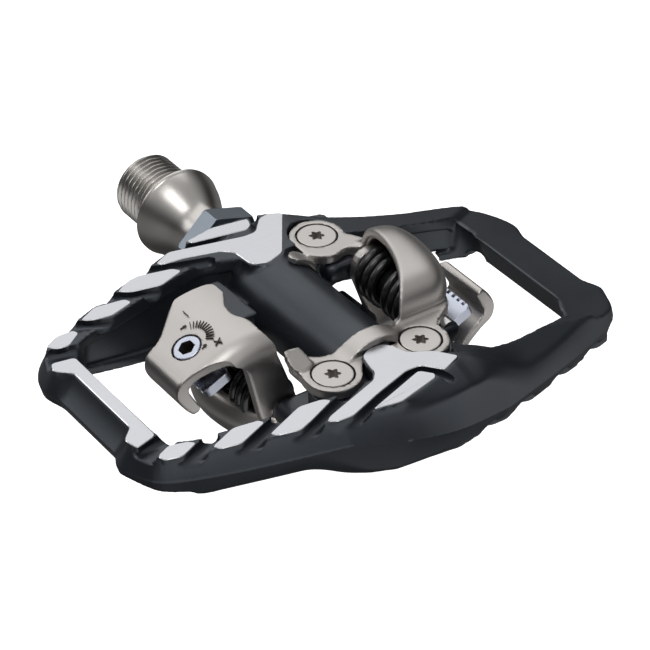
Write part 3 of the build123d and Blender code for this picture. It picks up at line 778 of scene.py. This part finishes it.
def claw_plate_field(x, y, z):
    """The claw plate: its flat part, a strap and a tab bent round the barrel, a folded ear and the hood."""
    flat = common(plate_plan(x, y), between(z, PLATE_SEAT, PLATE_TOP), PLATE_ROUND)
    from_barrel = np.hypot(y, z) - BARREL_R
    strap = between(from_barrel, BARREL_GAP, BARREL_GAP + STRAP_THICKNESS)
    strap = common(strap, between(x, *STRAP_X), BEND_EDGE)
    strap = common(strap, PLATE_SEAT - z, 0.3)
    tab = between(from_barrel, BARREL_GAP, BARREL_GAP + TAB_THICKNESS)
    tab = common(tab, np.maximum(tab_plan(x, y), TAB_FLOOR - z), BEND_EDGE)
    fold_x, fold_y, fold_z = FOLD_AT
    fold = z - fold_z - FOLD_SLOPE[0] * (x - fold_x) - FOLD_SLOPE[1] * (y - fold_y)
    fold = common(between(fold, *FOLD_W), fold_plan(x, y), BEND_EDGE)
    flat = join(flat, fold, 0.6)
    plate = join(join(flat, strap, 1.0), tab, 0.5)
    barrel = np.maximum(from_barrel - 0.05, between(x, 20, 70))
    plate = cut(plate, barrel, 0.1)
    along = np.clip((x - RIM_START) / RIM_LENGTH, 0, 1.04)
    rim = RIM_Y - RIM_FALL * along ** RIM_POWER
    hood = common(dome(x, y, z, 0), (rim - y) * 0.8, HOOD_ROUND)
    hood = common(hood, HOOD_FLOOR - z, 0.5)
    hood = join(hood, plate, HOOD_FILLET)
    hollow = np.maximum(dome(x, y, z, HOOD_WALL), HOOD_REAR - y)
    return cut(hood, hollow, HOOD_ROUND)


def drilled_plate_field(x, y, z):
    """The claw plate less its countersinks."""
    shape = claw_plate_field(x, y, z)
    for sx, sy in SCREW_SPOTS:
        shape = cut(shape, np.hypot(x - sx, y - sy) - COUNTERSINK_R, COUNTERSINK_ROUND)
    return shape


PLATE_STEP = 0.34
plate_vertices, plate_quads = contour(drilled_plate_field, (25.5, -18.0, 0.5), (78.5, 29.5, 14.0), PLATE_STEP)
both_sides("claw_plate", plate_vertices, plate_quads, claw_steel, "pedal_body")

# ---- flush screws with six-lobe sockets
SCREW_HEAD_R = 3.88
SCREW_HEAD_DEPTH = 1.9
SCREW_SHANK_R = 1.75
SCREW_END = -6.6
LOBE_SOCKET_R = 1.28
LOBE_SOCKET_WAVE = 0.27
LOBE_SOCKET_DEPTH = 1.7
SCREW_SINK = 0.02
SCREW_STEP = 0.16


def screw_field(x, y, z):
    """A screw about its own axis, with its head's face at zero."""
    around = np.arctan2(y, x)
    radius = np.hypot(x, y)
    head = common(radius - SCREW_HEAD_R, between(z, -SCREW_HEAD_DEPTH, 0.0), 0.22)
    shank = np.maximum(radius - SCREW_SHANK_R, between(z, SCREW_END, -1.0))
    lobes = radius - (LOBE_SOCKET_R + LOBE_SOCKET_WAVE * np.cos(6 * around))
    return cut(join(head, shank, 0.3), np.maximum(lobes, -LOBE_SOCKET_DEPTH - z), 0.08)


screw_vertices, screw_quads = contour(screw_field, (-4.2, -4.2, -6.9), (4.2, 4.2, 0.3), SCREW_STEP)
screw_places = [np.array([sx, sy, PLATE_TOP - SCREW_SINK]) for sx, sy in SCREW_SPOTS]
all_screws = np.concatenate([screw_vertices + place for place in screw_places])
all_screw_quads = np.concatenate([screw_quads + i * len(screw_vertices) for i in range(len(SCREW_SPOTS))])
both_sides("plate_screws", all_screws, all_screw_quads, screw_steel, "pedal_body")

# ---- sprung claws
# Places in the Y-Z plane: the hinge pin, the upper end of the tilted face, and the bolt on it.
PIN = (-17.0, -4.3)
TILT = math.radians(25)
FACE_TOP = (-25.5, 12.6)
BOLT_DOWN = 5.8
BOLT_AT = (FACE_TOP[0] - math.cos(TILT) * BOLT_DOWN, FACE_TOP[1] - math.sin(TILT) * BOLT_DOWN)
MIDDLE_X = 52.0
CLAW_PROFILE = [(-17.6, 13.0), (-21.5, 13.0), (-26.2, 12.0), (-33.2, 8.8), (-36.2, 7.2), (-36.8, 4.4),
                (-35.3, 1.4), (-33.2, -0.9), (-31.7, 0.2), (-33.0, 2.7), (-34.3, 5.2), (-32.8, 6.7),
                (-25.0, 10.1), (-21.0, 10.9), (-17.6, 10.9)]
CLAW_PLAN = [(41.6, -17.6), (41.4, -20.0), (40.6, -26.6), (46.2, -33.0), (46.6, -38.0), (58.0, -38.0),
             (58.0, -33.8), (59.0, -29.8), (60.8, -26.6), (62.4, -25.2), (62.4, -17.9), (60.6, -19.4),
             (57.4, -18.6), (54.0, -18.7), (51.8, -20.2), (48.8, -20.0), (46.2, -18.3), (44.6, -17.6)]
CHEEK = [(-18.9, 12.6), (-17.6, 9.3), (-16.3, 5.8), (-14.6, 1.0), (-12.9, -3.4), (-14.5, -8.0),
         (-19.5, -8.0), (-21.3, -4.6), (-22.3, 0.0), (-23.3, 4.3), (-24.2, 7.9), (-25.6, 10.0),
         (-24.9, 11.8)]
CHEEK_X = ((41.6, 43.7), (60.3, 62.4))
ROOF_TOP = 13.0
ROOF_ROUND = 2.0
BEND_ROUND = 5.5
BEND_FILLET = 2.4
SHEET_ROUND = 0.5
HOLE_ROUND = 0.2
# A point of the roof's sloping part, which is parallel to the tilted face.
ROOF_AT = (-26.2, 12.0)
PIN_HOLE_R = 1.8
BOLT_HOLE_R = 3.0
BOLT_HOLE_REACH = 6
CLAW_STEP = 0.3

claw_profile = chart(CLAW_PROFILE, 3.0, 5)
claw_plan = chart(CLAW_PLAN, 1.6)
cheek_profile = chart(CHEEK, 2.0)


def binding_field(x, y, z):
    """The sprung claw: a bent sheet and two cheeks, with holes for its pin and its bolt."""
    sheet = common(claw_profile(y, z), claw_plan(x, y), SHEET_ROUND)
    cheek = np.minimum(between(x, *CHEEK_X[0]), between(x, *CHEEK_X[1]))
    cheek = common(cheek_profile(y, z), cheek, SHEET_ROUND)
    shape = join(sheet, cheek, BEND_FILLET)
    roof = (z - ROOF_AT[1]) * math.cos(TILT) - (y - ROOF_AT[0]) * math.sin(TILT)
    roof = common(roof, z - ROOF_TOP, ROOF_ROUND)
    shape = common(shape, common(roof, x - CHEEK_X[1][1], BEND_ROUND))
    shape = cut(shape, np.hypot(y - PIN[0], z - PIN[1]) - PIN_HOLE_R, HOLE_ROUND)
    height = (y - BOLT_AT[0]) * -math.sin(TILT) + (z - BOLT_AT[1]) * math.cos(TILT)
    along = (y - BOLT_AT[0]) * math.cos(TILT) + (z - BOLT_AT[1]) * math.sin(TILT)
    bolt = np.maximum(np.hypot(x - MIDDLE_X, along) - BOLT_HOLE_R, np.abs(height) - BOLT_HOLE_REACH)
    return cut(shape, bolt, HOLE_ROUND)


binding_vertices, binding_quads = contour(binding_field, (39.5, -37.5, -9.0), (63.2, -12.0, 13.6), CLAW_STEP)
both_sides("binding", binding_vertices, binding_quads, claw_steel, "{}_binding")


def on_face(x, along, height=0.0):
    """A point on the sprung claw's tilted face: along runs up the face from the bolt."""
    y = BOLT_AT[0] + along * math.cos(TILT) - height * math.sin(TILT)
    z = BOLT_AT[1] + along * math.sin(TILT) + height * math.cos(TILT)
    return np.stack(np.broadcast_arrays(MIDDLE_X + x, y, z), axis=-1)


BOLT_HEAD_R = 2.72
BOLT_HEAD_W = (-3.2, -0.25)
BOLT_SHANK_R = 1.5
BOLT_END = -9.0
HEX_HALF = 1.42
HEX_FLOOR = -2.8
# Faces inside this radius and below this height belong to the socket, whose near-black material is painted
# shade in the recess.
SOCKET_LIMIT = (1.72, -0.45)
BOLT_STEP = 0.15


def bolt_field(u, v, w):
    """The tension bolt about its own axis: w rises out of the head."""
    radius = np.hypot(u, v)
    turn = np.mod(np.arctan2(v, u), math.pi / 3) - math.pi / 6
    head = common(radius - BOLT_HEAD_R, between(w, *BOLT_HEAD_W), 0.3)
    shank = np.maximum(radius - BOLT_SHANK_R, between(w, BOLT_END, -2.5))
    socket = np.maximum(radius * np.cos(turn) - HEX_HALF, HEX_FLOOR - w)
    return cut(join(head, shank), socket, 0.12)


bolt_vertices, bolt_quads = contour(bolt_field, (-3.0, -3.0, -9.3), (3.0, 3.0, 0.2), BOLT_STEP)
bolt_placed = on_face(*bolt_vertices.T)
socket_shade_faces = np.hypot(bolt_vertices[:, 0], bolt_vertices[:, 1]) < SOCKET_LIMIT[0]
socket_shade_faces &= bolt_vertices[:, 2] < SOCKET_LIMIT[1]
# The socket's faces take the near-black material, which paints shade into the recess.
for bolt in both_sides("tension_bolt", bolt_placed, bolt_quads, chrome, "{}_tension_bolt"):
    bolt.data.materials.append(painted_socket_shade)
    bolt.data.polygons.foreach_set("material_index", socket_shade_faces[bolt_quads].all(axis=1).astype(int))


TENSION_HALF = (6.5, 3.0)
TENSION_W = (-7.8, -5.6)
TENSION_HOLE_R = 1.58
# Slots along both long edges.
SLOT_PITCH = 1.6
SLOT_HALF = 0.4
SLOT_START = 2.1
SLOT_REACH = 5.4
TENSION_STEP = 0.2


def tension_plate_field(u, v, w):
    """The tension plate in the bolt's own frame."""
    plan = common(np.abs(u) - TENSION_HALF[0], np.abs(v) - TENSION_HALF[1], 1.2)
    plate = common(plan, between(w, *TENSION_W), 0.3)
    from_slot = np.abs(np.mod(u + SLOT_PITCH / 2, SLOT_PITCH) - SLOT_PITCH / 2)
    slots = np.maximum(from_slot - SLOT_HALF, SLOT_START - np.abs(v))
    slots = np.maximum(slots, np.abs(u) - SLOT_REACH)
    return cut(cut(plate, slots, 0.1), np.hypot(u, v) - TENSION_HOLE_R)


tension_vertices, tension_quads = contour(tension_plate_field, (-7.0, -3.4, -8.1), (7.0, 3.4, -5.2),
                                          TENSION_STEP)
both_sides("tension_plate", on_face(*tension_vertices.T), tension_quads, chrome, "{}_tension_plate")


MARK_LIFT = 0.03
MARK_ROOT = -0.3
BLOCK_FACES = [[0, 1, 2, 3], [7, 6, 5, 4], [0, 4, 5, 1], [1, 5, 6, 2], [2, 6, 7, 3], [3, 7, 4, 0]]


def mark(start, end, width):
    """The corners of a thin flat block on the sprung claw's face: four above and four below."""
    start, end = np.array(start, float), np.array(end, float)
    ahead = (end - start) / np.linalg.norm(end - start)
    side = np.array([-ahead[1], ahead[0]]) * width / 2
    plan = [start - side, end - side, end + side, start + side]
    return np.array([on_face(p[0], p[1], level) for level in (MARK_LIFT, MARK_ROOT) for p in plan])


FAN_CENTRE = np.array([-0.45, 1.9])
FAN_TICKS = 12
FAN_START = 152
FAN_SWEEP = 112
FAN_R = (2.6, 4.2)
TICK_WIDTH = 0.075
# The minus, then the two strokes of the plus: start, end and width.
SIGNS = (((-7.5, 4.6), (-5.7, 4.6), 0.14), ((3.4, 4.2), (5.0, 5.1), 0.12), ((3.8, 5.5), (4.6, 3.8), 0.12))
ARROWS = (((-4.4, 1.7), (-4.2, 3.0)), ((2.95, 1.7), (2.8, 2.9)))
ARROW_WIDTH = 0.08
ARROW_BARB = (0.3, 0.6)


def engraved_marks():
    """Minus, a fan of ticks, two arrows and plus beside the tension bolt."""
    strokes = []
    for i in range(FAN_TICKS):
        angle = math.radians(FAN_START - i * FAN_SWEEP / (FAN_TICKS - 1))
        way = np.array([math.cos(angle), math.sin(angle)])
        strokes.append((FAN_CENTRE + way * FAN_R[0], FAN_CENTRE + way * FAN_R[1], TICK_WIDTH))
    strokes += SIGNS
    for tail, head in ARROWS:
        strokes.append((tail, head, ARROW_WIDTH))
        for side in (-1, 1):
            barb = (head[0] + side * ARROW_BARB[0], head[1] - ARROW_BARB[1])
            strokes.append((head, barb, ARROW_WIDTH))
    vertices = np.concatenate([mark(*stroke) for stroke in strokes])
    faces = [[8 * n + i for i in face] for n in range(len(strokes)) for face in BLOCK_FACES]
    return vertices, faces


mark_vertices, mark_faces = engraved_marks()
both_sides("adjustment_marks", mark_vertices, mark_faces, engraved_dark, "{}_binding",
           replaced=False)

# ---- spindle with its rolled thread
THREAD_R = 7.144
THREAD_PITCH = 1.27
THREAD_DEPTH = 0.75
THREAD_LENGTH = 12.4
THREAD_STEP = 0.08
THREAD_CREST = 0.1
THREAD_FLANK = 0.75
ENTRY_LENGTH = 0.9
ENTRY_DEPTH = 0.95
RUNOUT_START = -0.9
RUNOUT_FADE = 0.5
KEY_HALF = 4.0
KEY_DEPTH = 9.0
KEY_BEVEL = 0.3
SPINDLE_AROUND = 128
SPINDLE_PROFILE = [(0.0, 7.144), (0.02, 9.3), (0.2, 9.5), (0.75, 9.5), (0.95, 9.35), (1.2, 9.3),
                   (1.8, 9.12), (3.0, 8.75), (4.3, 8.2), (5.6, 7.55), (7.0, 6.85), (8.2, 6.3),
                   (9.5, 5.95), (11.0, 5.85), (16.4, 5.85), (17.6, 5.0), (36.0, 5.0), (36.0, 4.1),
                   (60.0, 3.6), (60.1, 3.2), (74.0, 3.2)]
AXIS_R = 0.01


def spindle_mesh():
    """The spindle as rings of vertices from the bottom of the key socket to the outboard end."""
    angle = np.linspace(0, 2 * math.pi, SPINDLE_AROUND, endpoint=False)
    hexagon = KEY_HALF / np.cos(np.mod(angle, math.pi / 3) - math.pi / 6)
    rows = [(KEY_DEPTH - THREAD_LENGTH, AXIS_R), (KEY_DEPTH - THREAD_LENGTH, hexagon),
            (KEY_BEVEL - THREAD_LENGTH, hexagon), (-THREAD_LENGTH, hexagon + KEY_BEVEL)]
    for x in np.arange(-THREAD_LENGTH, 0.001, THREAD_STEP):
        wave = np.abs(np.mod(x / THREAD_PITCH - angle / (2 * math.pi), 1) - 0.5) * 2
        wave = np.clip((wave - THREAD_CREST) / THREAD_FLANK, 0, 1)
        fade = np.clip((RUNOUT_START - x) / RUNOUT_FADE, 0, 1)
        entry = np.clip((x + THREAD_LENGTH) / ENTRY_LENGTH, 0, 1)
        crest = THREAD_R - ENTRY_DEPTH * (1 - entry)
        rows.append((x, np.minimum(crest, THREAD_R - THREAD_DEPTH * (1 - wave) * fade)))
    rows += SPINDLE_PROFILE
    rows.append((SPINDLE_PROFILE[-1][0], AXIS_R))
    cosine, sine = np.cos(angle), np.sin(angle)
    rings = [np.stack(np.broadcast_arrays(x, r * cosine, r * sine), axis=1) for x, r in rows]
    faces = []
    for row in range(len(rows) - 1):
        near, far = row * SPINDLE_AROUND, (row + 1) * SPINDLE_AROUND
        for i in range(SPINDLE_AROUND):
            j = (i + 1) % SPINDLE_AROUND
            faces.append((far + i, far + j, near + j, near + i))
    return np.concatenate(rings), faces


spindle_vertices, spindle_faces = spindle_mesh()
new_piece("spindle_turned", spindle_vertices, spindle_faces, spindle_steel, "spindle", ["spindle"],
          40)

# ---- lock sleeve
HEX_TURN = math.radians(43.4)
NUT_HALF = 7.75
NUT_X = (14.0, 18.4)
NUT_CORNER_R = 8.75
NUT_CHAMFER = 1.3
SLEEVE_R = 6.6
SLEEVE_X = (16.8, 36.0)
SLEEVE_BORE_R = 6.1
SLEEVE_STEP = 0.24


def sleeve_field(x, y, z):
    """The lock sleeve: a chamfered hexagon and the tube behind it."""
    radius = np.hypot(y, z)
    turn = np.mod(np.arctan2(z, y) - HEX_TURN, math.pi / 3) - math.pi / 6
    nut = np.maximum(radius * np.cos(turn) - NUT_HALF, between(x, *NUT_X))
    for inwards in (x - NUT_X[0], NUT_X[1] - x):
        nut = common(nut, (radius - NUT_CORNER_R - inwards * NUT_CHAMFER) * 0.6, 0.2)
    tube = np.maximum(radius - SLEEVE_R, between(x, *SLEEVE_X))
    return cut(join(nut, tube), radius - SLEEVE_BORE_R, 0.3)


sleeve_vertices, sleeve_quads = contour(sleeve_field, (13.5, -9.6, -9.6), (36.5, 9.6, 9.6), SLEEVE_STEP)
new_piece("lock_sleeve_turned", sleeve_vertices, sleeve_quads, sleeve_blue, "pedal_body", ["lock_sleeve"],
          30)

# ---- carried-over CAD nodes
# Which material each one takes, by a word in its name. A later row wins over an earlier one.
FINISHES = {
    "dust_seal": black_rubber, "sleeve_bush": black_plastic, "spacer_tube": sleeve_blue,
    "bearing": bearing_steel, "cone": bearing_steel, "spool": black_plastic, "spring": spring_black,
    "pivot_pin": bearing_steel,
}
NODE_CREASE = math.radians(35)
for node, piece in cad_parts.items():
    for key, material in FINISHES.items():
        if key in node:
            piece.data.materials.clear()
            piece.data.materials.append(material)
            piece.data.shade_smooth()
            piece.data.set_sharp_from_angle(angle=NODE_CREASE)

# ---- stage, light and camera
# Metres from here on.
FLOOR_HALF = 3.0
FLOOR_GAP = 0.002
FLOOR_GLOW = 0.87
turning_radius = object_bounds()[1][1]
floor_mesh = bpy.data.meshes.new("floor")
floor_corners = [(x * FLOOR_HALF, y * FLOOR_HALF, 0) for x, y in ((-1, -1), (1, -1), (1, 1), (-1, 1))]
floor_mesh.from_pydata(floor_corners, [], [(0, 1, 2, 3)])
floor = bpy.data.objects.new("floor", floor_mesh)
# Low enough that the pedal can turn all the way round above it.
floor.location = (0, 0, -turning_radius - FLOOR_GAP)
bpy.context.scene.collection.objects.link(floor)
floor_paint, _, _, shader = new_material("floor_paint")
set_inputs(shader, {"Base Color": (0.9, 0.9, 0.9, 1), "Roughness": 0.9, "Specular IOR Level": 0.0,
                    "Emission Color": (1, 1, 1, 1), "Emission Strength": FLOOR_GLOW})
floor_mesh.materials.append(floor_paint)
floor.visible_glossy = False
floor.visible_diffuse = False
floor.visible_shadow = False


LIGHTS_AIM = np.array([0.05, 0.0, 0.0])


def add_area(name, location, size, power):
    """A soft rectangular light that faces the pedal's middle."""
    light = bpy.data.lights.new(name, "AREA")
    light.shape = "RECTANGLE"
    light.size, light.size_y = size
    light.energy = power
    lamp = bpy.data.objects.new(name, light)
    lamp.location = location
    x, y, z = LIGHTS_AIM - np.array(location)
    lamp.rotation_euler = (math.atan2(math.hypot(x, y), -z), 0, math.atan2(x, -y) + math.pi)
    bpy.context.scene.collection.objects.link(lamp)


add_area("key_panel", (-0.62, 0.17, 0.66), (1.10, 0.70), 2.25)
add_area("rear_panel", (-0.62, -0.58, 0.46), (0.30, 0.50), 0.85)
add_area("top_panel", (0.10, -0.28, 0.85), (0.40, 0.40), 1.5)
add_area("side_strip", (0.75, -0.05, 0.30), (0.15, 0.9), 0.5)

world = bpy.data.worlds.new("studio")
world.use_nodes = True
nodes, links = world.node_tree.nodes, world.node_tree.links
where = nodes.new("ShaderNodeTexCoord")
axis = nodes.new("ShaderNodeSeparateXYZ")
links.new(where.outputs["Generated"], axis.inputs["Vector"])


def sky_ramp(direction, start, end, low, high):
    """A soft step in the studio's brightness along one direction."""
    step = map_range(nodes, start, end, low, high)
    step.interpolation_type = "SMOOTHSTEP"
    links.new(axis.outputs[direction], step.inputs["Value"])
    return step.outputs["Result"]


def combine(operation, a, b):
    node = nodes.new("ShaderNodeMath")
    node.operation = operation
    links.new(a, node.inputs[0])
    links.new(b, node.inputs[1])
    return node.outputs["Value"]


# A soft ceiling, and light that the bright surroundings throw back from below, mostly from outboard.
ceiling = sky_ramp("Z", 0.25, 0.85, 0.02, 0.46)
bounce = combine("MULTIPLY", sky_ramp("X", -0.05, 0.7, 0.16, 0.85), sky_ramp("Z", 0.15, -0.2, 0, 1))
bounce = combine("MULTIPLY", bounce, sky_ramp("Z", -0.9, -0.55, 0.12, 1))
links.new(combine("ADD", ceiling, bounce), nodes["Background"].inputs["Strength"])
nodes["Background"].inputs["Color"].default_value = (1, 1, 1, 1)
bpy.context.scene.world = world
bpy.context.scene.view_settings.view_transform = "Standard"

AZIMUTH = math.radians(54.99)
ELEVATION = math.radians(35.79)
CAMERA_AT = (0.4083, -0.2493, 0.3158)
FOCAL_LENGTH = 156.8
camera_data = bpy.data.cameras.new("camera")
camera_data.lens = FOCAL_LENGTH
camera_data.sensor_width = 36
camera_data.clip_start = 0.01
camera = bpy.data.objects.new("camera", camera_data)
camera.location = CAMERA_AT
camera.rotation_euler = (math.pi / 2 - ELEVATION, 0, AZIMUTH)
bpy.context.scene.collection.objects.link(camera)
bpy.context.scene.camera = camera
